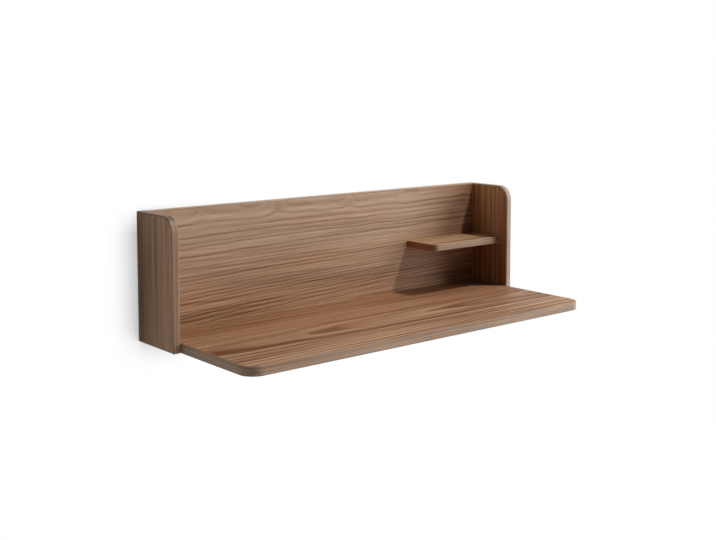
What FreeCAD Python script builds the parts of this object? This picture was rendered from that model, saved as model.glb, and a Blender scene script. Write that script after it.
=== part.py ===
import FreeCAD, Part
import os

import Sketcher
from FreeCAD import Placement, Rotation, Vector

# Floating wall desk: two side panels, a back panel, a desk top and a small shelf, all veneered board
# with solid edging, joined by dowels, cams and long screws and hung on a pair of hooked rails.
# +X runs to the user's right, +Y into the wall and +Z up. The wall is the plane Y = 0, X = 0 is the
# middle of the desk, and Z = 0 is the line of screws that holds the wall rail.

# (cell name, millimetres)
SIZES = (
    # boards
    ("overall_width", 1100),
    ("side_height", 306),
    ("side_depth", 158),
    ("side_thick", 18),
    ("side_corner_radius", 39),
    ("back_thick", 22),
    ("desk_reach", 430),            # wall to the front edge of the desk top
    ("desk_thick", 22),
    ("desk_corner_radius", 38),
    ("shelf_length", 258),
    ("shelf_reach", 131),           # wall to the front edge of the shelf
    ("shelf_thick", 19),
    ("shelf_corner_radius", 16),
    ("shelf_drop", 145),            # top of the side panels to the top of the shelf
    ("edging_thick", 3),
    ("edging_round", 2),
    # hooked rails
    ("screw_line_drop", 81),        # top of the side panels to the line of wall screws
    ("rail_inset", 82),             # end of the back panel to the end of a rail
    ("rail_sheet", 2),
    ("rail_flange", 24),
    ("rail_hook", 11.5),
    ("hook_slot", 3),               # room behind a hook
    ("hook_play", 0.5),             # hook to the faces beside it and below it
    ("recess_play", 3),             # rails to the edges of their recess
    ("recess_side_play", 15),
    ("wall_hole_bore", 5.5),
    ("wall_hole_margin", 50),       # end of the rail to the outer wall screw
    ("wall_hole_pitch", 200),       # outer to inner wall screw
    # screws of the hanging rail
    ("rail_screw_bore", 4),
    ("rail_screw_length", 14),
    ("rail_screw_head", 8),
    ("rail_screw_head_height", 2.4),
    ("rail_screw_point", 3),
    ("rail_screw_margin", 25),
    ("screw_key", 3),               # hexagon socket of every screw, across its flats
    ("screw_key_depth", 1.6),
    # dowels
    ("dowel_bore", 8),
    ("dowel_length", 35),
    ("dowel_in_face", 11),          # part of a dowel that sits in the face of the joining board
    ("dowel_chamfer", 1),
    ("hole_end_gap", 1),            # room past the end of a dowel, screw, bolt or cam
    ("fit_gap", 0.1),               # radial room of a dowel, screw or cam in its hole
    # cams and cam bolts
    ("cam_bore", 15),
    ("cam_setback", 34),            # end of the board to the centre of the cam
    ("cam_past_bolt", 3.7),         # depth of the cam beyond the bolt's axis
    ("cam_key_bore", 5.4),          # hole in the face of a cam, where its cap plugs in
    ("cam_key_depth", 2),
    ("cam_slot_length", 9),
    ("cam_slot_width", 1.2),
    ("bolt_thread", 5),
    ("bolt_thread_length", 11),
    ("bolt_collar_length", 8),
    ("bolt_shank", 6),
    ("bolt_neck", 4),
    ("bolt_neck_length", 3),
    ("bolt_head", 7),
    ("bolt_head_length", 4),
    ("bolt_play", 0.5),              # radial room of a bolt head in its hole
    ("cap_overlap", 1),             # rim of a cap beyond its cam
    ("cap_thick", 1),
    ("cap_round", 0.5),
    ("cap_stub_length", 1.8),
    # long screws through the back panel
    ("long_screw_bore", 7),
    ("long_screw_length", 50),
    ("long_screw_head", 10),
    ("long_screw_point", 5),
    # places of the joints
    ("back_dowel_margin", 25),      # top or bottom of the back panel to a dowel
    ("back_cam_margin", 64),        # top or bottom of the back panel to a cam
    ("desk_dowel_margin", 16),      # face of the back panel, or front of a side panel, to a dowel
    ("desk_cam_margin", 40),        # the same, to a cam
    ("desk_rear_margin", 60),       # end of the desk top to the first long screw
    ("shelf_dowel_margin", 22),     # rear or front edge of the shelf to a dowel
    ("shelf_rear_margin", 50),      # end of the shelf to a long screw
)

TINY = 0.001
TOUCH = 0.01

doc = FreeCAD.newDocument("floating_wall_desk")
sheet = doc.addObject("Spreadsheet::Sheet", "Sizes")
for row, (cell_name, size) in enumerate(SIZES, start=1):
    sheet.set(f"A{row}", cell_name)
    sheet.set(f"B{row}", str(size))
    sheet.setAlias(f"B{row}", cell_name)
doc.recompute()


# ---- measures worked out from the cells -------------------------------------------------------
# Each is the text of an expression, so that the features that use it stay bound to the sheet.

top = "Sizes.screw_line_drop"
bottom = "(Sizes.screw_line_drop - Sizes.side_height)"
outer = "(Sizes.overall_width / 2)"
inner = "(Sizes.overall_width / 2 - Sizes.side_thick)"
edging = "Sizes.edging_thick"

back_front = "-Sizes.back_thick"
back_middle = "(-Sizes.back_thick / 2)"
side_front = "-Sizes.side_depth"

desk_front = "-Sizes.desk_reach"
desk_top_face = f"({bottom} + Sizes.desk_thick)"
desk_middle = f"({bottom} + Sizes.desk_thick / 2)"

shelf_left = f"({inner} - Sizes.shelf_length)"
shelf_front = "-Sizes.shelf_reach"
shelf_top_face = f"({top} - Sizes.shelf_drop)"
shelf_underside = f"({top} - Sizes.shelf_drop - Sizes.shelf_thick)"
shelf_middle = f"({top} - Sizes.shelf_drop - Sizes.shelf_thick / 2)"

# Rails, as heights above the wall screws and distances from the wall.
flange_half = "(Sizes.rail_flange / 2)"
hook_foot = f"({flange_half} + Sizes.rail_sheet)"
hook_top = f"({hook_foot} + Sizes.rail_hook)"
hanging_foot = f"({hook_top} + Sizes.rail_sheet)"
hanging_top = f"({hanging_foot} + Sizes.rail_flange)"
hanging_screw_line = f"({hanging_foot} + {flange_half})"
wall_hook_face = "(Sizes.hook_slot + Sizes.rail_sheet)"
recess_depth = f"({wall_hook_face} + Sizes.hook_play)"
recess_top = f"({hanging_top} + Sizes.recess_play)"
lift_travel = "(Sizes.rail_hook + Sizes.hook_play)"
recess_bottom = f"(-{flange_half} - {lift_travel} - Sizes.recess_play)"
rail_end = f"({inner} - Sizes.rail_inset)"
recess_end = f"({rail_end} + Sizes.recess_side_play)"

# Joints: where dowels, cams and screws sit along the edge that they join.
cam_x = f"({inner} - Sizes.cam_setback)"
back_dowel_heights = (
    f"({bottom} + Sizes.back_dowel_margin)",
    f"(({bottom} + {top}) / 2)",
    f"({top} - Sizes.back_dowel_margin)",
)
back_cam_heights = (
    f"({bottom} + Sizes.back_cam_margin)",
    f"({top} - Sizes.back_cam_margin)",
)
desk_dowel_places = (
    f"({back_front} - Sizes.desk_dowel_margin)",
    f"(({back_front} + {side_front}) / 2)",
    f"({side_front} + Sizes.desk_dowel_margin)",
)
desk_cam_places = (
    f"({back_front} - Sizes.desk_cam_margin)",
    f"({side_front} + Sizes.desk_cam_margin)",
)
REAR_STEPS = 8
rear_places = [
    f"(({inner} - Sizes.desk_rear_margin) * {2 * step / REAR_STEPS - 1})"
    for step in range(REAR_STEPS + 1)
]
desk_screw_places = rear_places[0::2]
desk_rear_dowel_places = rear_places[1::2]
shelf_dowel_places = (
    f"({back_front} - Sizes.shelf_dowel_margin)",
    f"({shelf_front} + Sizes.shelf_dowel_margin)",
)
shelf_cam_place = f"(({back_front} + {shelf_front}) / 2)"
shelf_screw_places = (
    f"({shelf_left} + Sizes.shelf_rear_margin)",
    f"({inner} - Sizes.shelf_rear_margin)",
)
shelf_rear_dowel_place = f"(({shelf_left} + {inner}) / 2)"
RAIL_SCREW_STEPS = 5
rail_screw_places = [
    f"(({rail_end} - Sizes.rail_screw_margin) * {2 * step / RAIL_SCREW_STEPS - 1})"
    for step in range(RAIL_SCREW_STEPS + 1)
]
outer_wall_hole = f"({rail_end} - Sizes.wall_hole_margin)"
inner_wall_hole = f"({outer_wall_hole} - Sizes.wall_hole_pitch)"
wall_hole_places = (
    f"-{outer_wall_hole}",
    f"-{inner_wall_hole}",
    inner_wall_hole,
    outer_wall_hole,
)

# Holes.
dowel_hole = "(Sizes.dowel_bore + 2 * Sizes.fit_gap)"
dowel_hole_in_face = "(Sizes.dowel_in_face + Sizes.hole_end_gap)"
dowel_hole_in_end = "(Sizes.dowel_length - Sizes.dowel_in_face + Sizes.hole_end_gap)"
dowel_centre = "(Sizes.dowel_length / 2 - Sizes.dowel_in_face)"
thread_hole = "(Sizes.bolt_thread + 2 * Sizes.fit_gap)"
thread_hole_depth = "(Sizes.bolt_thread_length + Sizes.hole_end_gap)"
bolt_hole = "(Sizes.bolt_head + 2 * Sizes.bolt_play)"
bolt_collar_radius = f"({bolt_hole} / 2 - Sizes.fit_gap)"
cam_hole = "(Sizes.cam_bore + 2 * Sizes.fit_gap)"
cap_radius = "(Sizes.cam_bore / 2 + Sizes.cap_overlap)"
long_screw_hole = "(Sizes.long_screw_bore + 2 * Sizes.fit_gap)"
long_screw_sink = "((Sizes.long_screw_head - Sizes.long_screw_bore) / 2)"
rail_screw_hole = "(Sizes.rail_screw_bore + 2 * Sizes.fit_gap)"


# ---- ways of making features -------------------------------------------------------------------

NORMAL_SIGN = {"XY_Plane": 1, "XZ_Plane": -1, "YZ_Plane": 1}
nodes = []


def value(expression):
    return float(sheet.evalExpression(expression))


def make_body(label, is_node=True):
    body = doc.addObject("PartDesign::Body", label)
    body.Label = label
    if is_node:
        nodes.append(body)
    return body


def make_sketch(body, name, plane, at="0"):
    """Sketch on an origin plane of the body, moved along that plane's axis to the coordinate at."""
    sketch = body.newObject("Sketcher::SketchObject", f"{body.Name}_{name}")
    support = next(item for item in body.Origin.OriginFeatures if item.Role == plane)
    sketch.AttachmentSupport = (support, [""])
    sketch.MapMode = "FlatFace"
    sketch.setExpression("AttachmentOffset.Base.z", f"{NORMAL_SIGN[plane]} * ({at})")
    return sketch


def constrain(sketch, kind, elements, expression):
    number = sketch.addConstraint(Sketcher.Constraint(kind, *elements, value(expression)))
    sketch.setExpression(f"Constraints[{number}]", expression)


def draw_outline(sketch, points):
    """Closed outline of straight lines, each corner held at its two coordinates."""
    corners = [Vector(value(across), value(up), 0) for across, up in points]
    following = corners[1:] + corners[:1]
    for start, end in zip(corners, following):
        sketch.addGeometry(Part.LineSegment(start, end), False)
    last = len(points) - 1
    for line in range(len(points)):
        next_line = 0 if line == last else line + 1
        sketch.addConstraint(Sketcher.Constraint("Coincident", line, 2, next_line, 1))
    for line, (across, up) in enumerate(points):
        constrain(sketch, "DistanceX", (-1, 1, line, 1), across)
        constrain(sketch, "DistanceY", (-1, 1, line, 1), up)


def draw_rectangle(sketch, left, right, low, high):
    draw_outline(sketch, ((left, low), (right, low), (right, high), (left, high)))


def draw_circles(sketch, places, diameter):
    for number, (across, up) in enumerate(places):
        centre = Vector(value(across), value(up), 0)
        sketch.addGeometry(Part.Circle(centre, Vector(0, 0, 1), value(diameter) / 2), False)
        constrain(sketch, "DistanceX", (-1, 1, number, 3), across)
        constrain(sketch, "DistanceY", (-1, 1, number, 3), up)
        constrain(sketch, "Diameter", (number,), diameter)


def extrude(body, kind, sketch, plane, start, end):
    """Pad or Pocket of a sketch that lies at start, run along the plane's axis to end."""
    feature = body.newObject(f"PartDesign::{kind}", f"{sketch.Name}_{kind.lower()}")
    feature.Profile = sketch
    feature.setExpression("Length", f"abs(({end}) - ({start}))")
    along_normal = (value(end) - value(start)) * NORMAL_SIGN[plane] > 0
    feature.Reversed = along_normal if kind == "Pocket" else not along_normal
    volume_before = body.Shape.Volume if body.Shape.Solids else 0
    doc.recompute()
    grown = body.Shape.Volume - volume_before
    if (kind == "Pad") != (grown > 0) or abs(grown) < TINY:
        raise RuntimeError(f"{feature.Name} changes the volume by {grown}")
    return feature


def pad(body, name, plane, start, end, points):
    sketch = make_sketch(body, name, plane, start)
    draw_outline(sketch, points)
    return extrude(body, "Pad", sketch, plane, start, end)


def drill(body, name, plane, start, end, places, diameter):
    sketch = make_sketch(body, name, plane, start)
    draw_circles(sketch, places, diameter)
    return extrude(body, "Pocket", sketch, plane, start, end)


def revolve(body, name, plane, axis, points):
    sketch = make_sketch(body, name, plane)
    draw_outline(sketch, points)
    feature = body.newObject("PartDesign::Revolution", f"{sketch.Name}_turned")
    feature.Profile = sketch
    feature.ReferenceAxis = (sketch, [axis])
    feature.Angle = 360
    doc.recompute()
    return feature


def dress(body, kind, name, size_property, size, chosen):
    """Fillet or Chamfer of the edges of the body's solid that the test chosen accepts."""
    base = body.Tip
    picked = [
        f"Edge{number}" for number, edge in enumerate(base.Shape.Edges, start=1) if chosen(edge)
    ]
    feature = body.newObject(f"PartDesign::{kind}", f"{body.Name}_{name}")
    feature.Base = (base, picked)
    feature.setExpression(size_property, size)
    doc.recompute()
    return feature


def fillet(body, name, radius, chosen):
    return dress(body, "Fillet", name, "Radius", radius, chosen)


def runs_through(edge, direction, **coordinates):
    """Whether a straight edge runs along an axis and through the given coordinates."""
    if getattr(edge.BoundBox, f"{direction}Length") < edge.Length - TOUCH:
        return False
    return all(
        abs(getattr(edge.CenterOfMass, axis) - value(place)) < TOUCH
        for axis, place in coordinates.items()
    )


def is_rim(edge, flat_axis, **limits):
    """Whether an edge lies flat across an axis, touches an outer limit and is no end of a strip."""
    if getattr(edge.BoundBox, f"{flat_axis}Length") > TOUCH or edge.Length < value(edging) + TOUCH:
        return False
    return any(
        abs(getattr(edge.BoundBox, limit) - value(place)) < TOUCH
        for limit, place in limits.items()
    )


def copies(label, piece, places):
    """Node of separate equal solids: a link to the piece at each place, turned as that place says."""
    links = []
    for number, (across, inward, up, rotation) in enumerate(places, start=1):
        link = doc.addObject("App::Link", f"{label}_{number}")
        link.LinkedObject = piece
        link.Placement = Placement(Vector(), rotation)
        link.setExpression("Placement.Base.x", across)
        link.setExpression("Placement.Base.y", inward)
        link.setExpression("Placement.Base.z", up)
        links.append(link)
    group = doc.addObject("Part::Compound", label)
    group.Label = label
    group.Links = links
    nodes.append(group)
    doc.recompute()
    return group


# ---- side panels -------------------------------------------------------------------------------
# Each is a board with one strip of edging bent round its top, corner and front, and one below.

core_front = f"({side_front} + {edging})"
core_top = f"({top} - {edging})"
core_bottom = f"({bottom} + {edging})"
inner_corner_radius = f"(Sizes.side_corner_radius - {edging})"

back_dowel_spots = [(back_middle, height) for height in back_dowel_heights]
back_cam_spots = [(back_middle, height) for height in back_cam_heights]
desk_dowel_spots = [(place, desk_middle) for place in desk_dowel_places]
desk_cam_spots = [(place, desk_middle) for place in desk_cam_places]
shelf_dowel_spots = [(place, shelf_middle) for place in shelf_dowel_places]
shelf_cam_spots = [(shelf_cam_place, shelf_middle)]


def make_side(side, sign, dowel_spots, bolt_spots):
    outside = f"{sign}{outer}"
    inside = f"{sign}{inner}"

    panel = make_body(f"{side}_side_panel")
    pad(panel, "board", "YZ_Plane", outside, inside, (
        ("0", core_bottom), ("0", core_top), (core_front, core_top), (core_front, core_bottom),
    ))
    fillet(panel, "corner", inner_corner_radius,
           lambda edge: runs_through(edge, "X", y=core_front, z=core_top))
    drill(panel, "dowel_holes", "YZ_Plane", inside, f"{inside} {sign} {dowel_hole_in_face}",
          dowel_spots, dowel_hole)
    drill(panel, "bolt_holes", "YZ_Plane", inside, f"{inside} {sign} {thread_hole_depth}",
          bolt_spots, thread_hole)

    strip = make_body(f"{side}_side_edging")
    pad(strip, "strip", "YZ_Plane", outside, inside, (
        ("0", core_top), ("0", top), (side_front, top), (side_front, bottom),
        (core_front, bottom), (core_front, core_top),
    ))
    fillet(strip, "corner", "Sizes.side_corner_radius",
           lambda edge: runs_through(edge, "X", y=side_front, z=top))
    fillet(strip, "inner_corner", inner_corner_radius,
           lambda edge: runs_through(edge, "X", y=core_front, z=core_top))
    fillet(strip, "rim", "Sizes.edging_round",
           lambda edge: is_rim(edge, "X", YMin=side_front, ZMax=top))

    lower_strip = make_body(f"{side}_side_lower_edging")
    pad(lower_strip, "strip", "YZ_Plane", outside, inside, (
        ("0", bottom), ("0", core_bottom), (core_front, core_bottom), (core_front, bottom),
    ))
    fillet(lower_strip, "rim", "Sizes.edging_round",
           lambda edge: runs_through(edge, "Y", x=outside, z=bottom))


make_side("left", "-", back_dowel_spots + desk_dowel_spots, back_cam_spots + desk_cam_spots)
make_side(
    "right", "+",
    back_dowel_spots + desk_dowel_spots + shelf_dowel_spots,
    back_cam_spots + desk_cam_spots + shelf_cam_spots,
)


# ---- back panel --------------------------------------------------------------------------------
# A board between the sides, its edging along the top and the bottom. Its rear face is recessed for
# the rails, and holds the cams of its ends and the heads of the long screws.

def cam_hole_depth(board_thick):
    return f"({board_thick} / 2 + Sizes.cam_past_bolt + Sizes.hole_end_gap)"


desk_screw_spots = [(place, desk_middle) for place in desk_screw_places]
desk_rear_dowel_spots = [(place, desk_middle) for place in desk_rear_dowel_places]
shelf_screw_spots = [(place, shelf_middle) for place in shelf_screw_places]
shelf_rear_dowel_spots = [(shelf_rear_dowel_place, shelf_middle)]
rail_screw_spots = [(place, hanging_screw_line) for place in rail_screw_places]
rail_screw_seat = f"(Sizes.rail_sheet - {recess_depth})"
rail_screw_hole_end = f"({rail_screw_seat} - Sizes.rail_screw_length - Sizes.hole_end_gap)"

back = make_body("back_panel")
pad(back, "board", "XZ_Plane", "0", back_front, (
    (f"-{inner}", core_bottom), (inner, core_bottom), (inner, core_top), (f"-{inner}", core_top),
))
recess = make_sketch(back, "rail_recess", "XZ_Plane")
draw_rectangle(recess, f"-{recess_end}", recess_end, recess_bottom, recess_top)
extrude(back, "Pocket", recess, "XZ_Plane", "0", f"-{recess_depth}")
for side, sign, inward in (("left", "-", "+"), ("right", "+", "-")):
    drill(back, f"{side}_dowel_holes", "YZ_Plane", f"{sign}{inner}",
          f"{sign}{inner} {inward} {dowel_hole_in_end}", back_dowel_spots, dowel_hole)
    drill(back, f"{side}_bolt_holes", "YZ_Plane", f"{sign}{inner}", f"{sign}{cam_x}",
          back_cam_spots, bolt_hole)
    drill(back, f"{side}_cam_holes", "XZ_Plane", "0", f"-{cam_hole_depth('Sizes.back_thick')}",
          [(f"{sign}{cam_x}", height) for height in back_cam_heights], cam_hole)
drill(back, "long_screw_holes", "XZ_Plane", "0", back_front,
      desk_screw_spots + shelf_screw_spots, long_screw_hole)
dress(back, "Chamfer", "screw_sinks", "Size", long_screw_sink,
      lambda edge: edge.Curve.TypeId == "Part::GeomCircle" and edge.BoundBox.YMin > -TOUCH
      and abs(edge.Curve.Radius - value(long_screw_hole) / 2) < TOUCH)
drill(back, "front_dowel_holes", "XZ_Plane", back_front, f"{back_front} + {dowel_hole_in_face}",
      desk_rear_dowel_spots + shelf_rear_dowel_spots, dowel_hole)
drill(back, "rail_screw_holes", "XZ_Plane", f"-{recess_depth}", rail_screw_hole_end,
      rail_screw_spots, rail_screw_hole)

upper_strip = make_body("back_panel_upper_edging")
pad(upper_strip, "strip", "XZ_Plane", "0", back_front, (
    (f"-{inner}", core_top), (inner, core_top), (inner, top), (f"-{inner}", top),
))
fillet(upper_strip, "rim", "Sizes.edging_round",
       lambda edge: runs_through(edge, "X", y=back_front, z=top))

lower_strip = make_body("back_panel_lower_edging")
pad(lower_strip, "strip", "XZ_Plane", "0", back_front, (
    (f"-{inner}", bottom), (inner, bottom), (inner, core_bottom), (f"-{inner}", core_bottom),
))


# ---- desk top ----------------------------------------------------------------------------------
# A board with one strip of edging bent round both ends, both corners and the front.

desk_core_side = f"({inner} - {edging})"
desk_core_front = f"({desk_front} + {edging})"
desk_inner_radius = f"(Sizes.desk_corner_radius - {edging})"


def drill_desk_ends(body):
    for side, sign, inward in (("left", "-", "+"), ("right", "+", "-")):
        drill(body, f"{side}_dowel_holes", "YZ_Plane", f"{sign}{inner}",
              f"{sign}{inner} {inward} {dowel_hole_in_end}", desk_dowel_spots, dowel_hole)
        drill(body, f"{side}_bolt_holes", "YZ_Plane", f"{sign}{inner}", f"{sign}{cam_x}",
              desk_cam_spots, bolt_hole)


desk = make_body("desk_top")
pad(desk, "board", "XY_Plane", bottom, desk_top_face, (
    (f"-{desk_core_side}", back_front), (f"-{desk_core_side}", desk_core_front),
    (desk_core_side, desk_core_front), (desk_core_side, back_front),
))
fillet(desk, "corners", desk_inner_radius,
       lambda edge: runs_through(edge, "Z", y=desk_core_front))
drill_desk_ends(desk)
drill(desk, "cam_holes", "XY_Plane", bottom, f"{bottom} + {cam_hole_depth('Sizes.desk_thick')}",
      [(f"{sign}{cam_x}", place) for sign in "-+" for place in desk_cam_places], cam_hole)
drill(desk, "rear_dowel_holes", "XZ_Plane", back_front, f"{back_front} - {dowel_hole_in_end}",
      desk_rear_dowel_spots, dowel_hole)
drill(desk, "long_screw_holes", "XZ_Plane", back_front,
      "-(Sizes.long_screw_length + Sizes.hole_end_gap)", desk_screw_spots, long_screw_hole)

desk_strip = make_body("desk_top_edging")
pad(desk_strip, "strip", "XY_Plane", bottom, desk_top_face, (
    (f"-{inner}", back_front), (f"-{inner}", desk_front),
    (inner, desk_front), (inner, back_front),
    (desk_core_side, back_front), (desk_core_side, desk_core_front),
    (f"-{desk_core_side}", desk_core_front), (f"-{desk_core_side}", back_front),
))
fillet(desk_strip, "corners", "Sizes.desk_corner_radius",
       lambda edge: runs_through(edge, "Z", y=desk_front))
fillet(desk_strip, "inner_corners", desk_inner_radius,
       lambda edge: runs_through(edge, "Z", y=desk_core_front))
fillet(desk_strip, "rim", "Sizes.edging_round",
       lambda edge: is_rim(edge, "Z", XMin=f"-{inner}", XMax=inner, YMin=desk_front))
drill_desk_ends(desk_strip)


# ---- shelf -------------------------------------------------------------------------------------
# A short board in the right-hand bay, edged round its free end and its front.

shelf_core_left = f"({shelf_left} + {edging})"
shelf_core_front = f"({shelf_front} + {edging})"
shelf_inner_radius = f"(Sizes.shelf_corner_radius - {edging})"

shelf = make_body("small_shelf")
pad(shelf, "board", "XY_Plane", shelf_underside, shelf_top_face, (
    (shelf_core_left, back_front), (shelf_core_left, shelf_core_front),
    (inner, shelf_core_front), (inner, back_front),
))
fillet(shelf, "corner", shelf_inner_radius,
       lambda edge: runs_through(edge, "Z", x=shelf_core_left, y=shelf_core_front))
drill(shelf, "end_dowel_holes", "YZ_Plane", inner, f"{inner} - {dowel_hole_in_end}",
      shelf_dowel_spots, dowel_hole)
drill(shelf, "bolt_hole", "YZ_Plane", inner, cam_x, shelf_cam_spots, bolt_hole)
drill(shelf, "cam_hole", "XY_Plane", shelf_underside,
      f"{shelf_underside} + {cam_hole_depth('Sizes.shelf_thick')}",
      [(cam_x, shelf_cam_place)], cam_hole)
drill(shelf, "rear_dowel_hole", "XZ_Plane", back_front, f"{back_front} - {dowel_hole_in_end}",
      shelf_rear_dowel_spots, dowel_hole)
drill(shelf, "long_screw_holes", "XZ_Plane", back_front,
      "-(Sizes.long_screw_length + Sizes.hole_end_gap)", shelf_screw_spots, long_screw_hole)

shelf_strip = make_body("shelf_edging")
pad(shelf_strip, "strip", "XY_Plane", shelf_underside, shelf_top_face, (
    (shelf_left, back_front), (shelf_left, shelf_front),
    (inner, shelf_front), (inner, shelf_core_front),
    (shelf_core_left, shelf_core_front), (shelf_core_left, back_front),
))
fillet(shelf_strip, "corner", "Sizes.shelf_corner_radius",
       lambda edge: runs_through(edge, "Z", x=shelf_left, y=shelf_front))
fillet(shelf_strip, "inner_corner", shelf_inner_radius,
       lambda edge: runs_through(edge, "Z", x=shelf_core_left, y=shelf_core_front))
fillet(shelf_strip, "rim", "Sizes.edging_round",
       lambda edge: is_rim(edge, "Z", XMin=shelf_left, YMin=shelf_front))


# ---- hooked rails ------------------------------------------------------------------------------
# Two equal folded sections that face each other: the lower is screwed to the wall and its hook
# points up, the upper is screwed into the recess of the back panel and its hook points down.

wall_rail = make_body("wall_rail")
pad(wall_rail, "section", "YZ_Plane", f"-{rail_end}", rail_end, (
    ("0", f"-{flange_half}"), ("-Sizes.rail_sheet", f"-{flange_half}"),
    ("-Sizes.rail_sheet", flange_half), (f"-{wall_hook_face}", flange_half),
    (f"-{wall_hook_face}", hook_top), ("-Sizes.hook_slot", hook_top),
    ("-Sizes.hook_slot", hook_foot), ("0", hook_foot),
))
drill(wall_rail, "wall_screw_holes", "XZ_Plane", "0", "-Sizes.rail_sheet",
      [(place, "0") for place in wall_hole_places], "Sizes.wall_hole_bore")

hook_rear = f"(-{recess_depth} + Sizes.hook_slot)"
hook_front = f"({hook_rear} + Sizes.rail_sheet)"
hook_end = f"({hook_foot} + Sizes.hook_play)"
hanging_rail = make_body("hanging_rail")
pad(hanging_rail, "section", "YZ_Plane", f"-{rail_end}", rail_end, (
    (f"-{recess_depth}", hanging_top), (f"-{recess_depth}", hook_top),
    (hook_rear, hook_top), (hook_rear, hook_end),
    (hook_front, hook_end), (hook_front, hanging_foot),
    (rail_screw_seat, hanging_foot), (rail_screw_seat, hanging_top),
))
drill(hanging_rail, "screw_holes", "XZ_Plane", f"-{recess_depth}", rail_screw_seat,
      rail_screw_spots, rail_screw_hole)


# ---- fasteners ---------------------------------------------------------------------------------
# One of each kind is modelled at the origin. Its node is a group of copies in their holes.

UPRIGHT = Rotation()
TURNED = Rotation(Vector(0, 0, 1), 180)
ACROSS = Rotation(Vector(0, 0, 1), 90)
INTO_BACK = Rotation(Vector(1, 0, 0), 90)
INTO_BACK_TURNED = INTO_BACK.multiply(TURNED)


def hexagon(across_flats):
    corner = f"{across_flats} / 2 / cos(30)"
    return [(f"{corner} * cos({turn})", f"{corner} * sin({turn})") for turn in range(0, 360, 60)]


def cut_key(screw, face):
    sketch = make_sketch(screw, "key", "XZ_Plane", face)
    draw_outline(sketch, hexagon("Sizes.screw_key"))
    extrude(screw, "Pocket", sketch, "XZ_Plane", face, f"{face} - Sizes.screw_key_depth")


dowel = make_body("dowel", is_node=False)
dowel_sketch = make_sketch(dowel, "rod", "YZ_Plane", "-Sizes.dowel_length / 2")
draw_circles(dowel_sketch, [("0", "0")], "Sizes.dowel_bore")
extrude(dowel, "Pad", dowel_sketch, "YZ_Plane", "-Sizes.dowel_length / 2", "Sizes.dowel_length / 2")
dress(dowel, "Chamfer", "ends", "Size", "Sizes.dowel_chamfer",
      lambda edge: edge.BoundBox.XLength < TOUCH)

bolt_end = "(Sizes.cam_setback + Sizes.bolt_head_length / 2)"
bolt_head_start = "(Sizes.cam_setback - Sizes.bolt_head_length / 2)"
bolt_neck_start = f"({bolt_head_start} - Sizes.bolt_neck_length)"
cam_bolt = make_body("cam_bolt", is_node=False)
revolve(cam_bolt, "profile", "XY_Plane", "H_Axis", (
    ("-Sizes.bolt_thread_length", "0"), ("-Sizes.bolt_thread_length", "Sizes.bolt_thread / 2"),
    ("0", "Sizes.bolt_thread / 2"), ("0", bolt_collar_radius),
    ("Sizes.bolt_collar_length", bolt_collar_radius),
    ("Sizes.bolt_collar_length", "Sizes.bolt_shank / 2"),
    (bolt_neck_start, "Sizes.bolt_shank / 2"), (bolt_neck_start, "Sizes.bolt_neck / 2"),
    (bolt_head_start, "Sizes.bolt_neck / 2"), (bolt_head_start, "Sizes.bolt_head / 2"),
    (bolt_end, "Sizes.bolt_head / 2"), (bolt_end, "0"),
))


def make_cam(name, board_thick):
    """Cam whose face is flush with the board's and whose mouth opens towards -X for the bolt."""
    cam = make_body(name, is_node=False)
    disc = make_sketch(cam, "disc", "XY_Plane")
    draw_circles(disc, [("0", "0")], "Sizes.cam_bore")
    extrude(cam, "Pad", disc, "XY_Plane", "0", f"{board_thick} / 2 + Sizes.cam_past_bolt")
    drill(cam, "mouth", "YZ_Plane", "-Sizes.cam_bore / 2",
          "Sizes.bolt_head_length / 2 + Sizes.hole_end_gap",
          [("0", f"{board_thick} / 2")], bolt_hole)
    drill(cam, "key_hole", "XY_Plane", "0", "Sizes.cam_key_depth", [("0", "0")],
          "Sizes.cam_key_bore")
    slot = make_sketch(cam, "slot", "XY_Plane")
    draw_rectangle(slot, "-Sizes.cam_slot_length / 2", "Sizes.cam_slot_length / 2",
                   "-Sizes.cam_slot_width / 2", "Sizes.cam_slot_width / 2")
    extrude(cam, "Pocket", slot, "XY_Plane", "0", "Sizes.cam_key_depth")
    return cam


back_cam = make_cam("back_cam", "Sizes.back_thick")
desk_cam = make_cam("desk_cam", "Sizes.desk_thick")
small_cam = make_cam("small_cam", "Sizes.shelf_thick")

cap_stub_radius = "(Sizes.cam_key_bore / 2 - Sizes.fit_gap)"
cap = make_body("cap", is_node=False)
revolve(cap, "profile", "XZ_Plane", "V_Axis", (
    ("0", "-Sizes.cap_thick"), (cap_radius, "-Sizes.cap_thick"),
    (cap_radius, "0"), (cap_stub_radius, "0"),
    (cap_stub_radius, "Sizes.cap_stub_length"), ("0", "Sizes.cap_stub_length"),
))
fillet(cap, "rim", "Sizes.cap_round",
       lambda edge: edge.BoundBox.ZMax < value("-Sizes.cap_thick") + TOUCH)

long_screw = make_body("long_screw", is_node=False)
revolve(long_screw, "profile", "XY_Plane", "V_Axis", (
    ("0", "0"), ("Sizes.long_screw_head / 2", "0"),
    ("Sizes.long_screw_bore / 2", f"-{long_screw_sink}"),
    ("Sizes.long_screw_bore / 2", "Sizes.long_screw_point - Sizes.long_screw_length"),
    ("0", "-Sizes.long_screw_length"),
))
cut_key(long_screw, "0")

rail_screw = make_body("rail_screw", is_node=False)
revolve(rail_screw, "profile", "XY_Plane", "V_Axis", (
    ("0", "Sizes.rail_screw_head_height"),
    ("Sizes.rail_screw_head / 2", "Sizes.rail_screw_head_height"),
    ("Sizes.rail_screw_head / 2", "0"), ("Sizes.rail_screw_bore / 2", "0"),
    ("Sizes.rail_screw_bore / 2", "Sizes.rail_screw_point - Sizes.rail_screw_length"),
    ("0", "-Sizes.rail_screw_length"),
))
cut_key(rail_screw, "Sizes.rail_screw_head_height")

left_dowel_x = f"-({inner} - {dowel_centre})"
right_dowel_x = f"({inner} - {dowel_centre})"
rear_dowel_y = f"({back_front} - {dowel_centre})"

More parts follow.
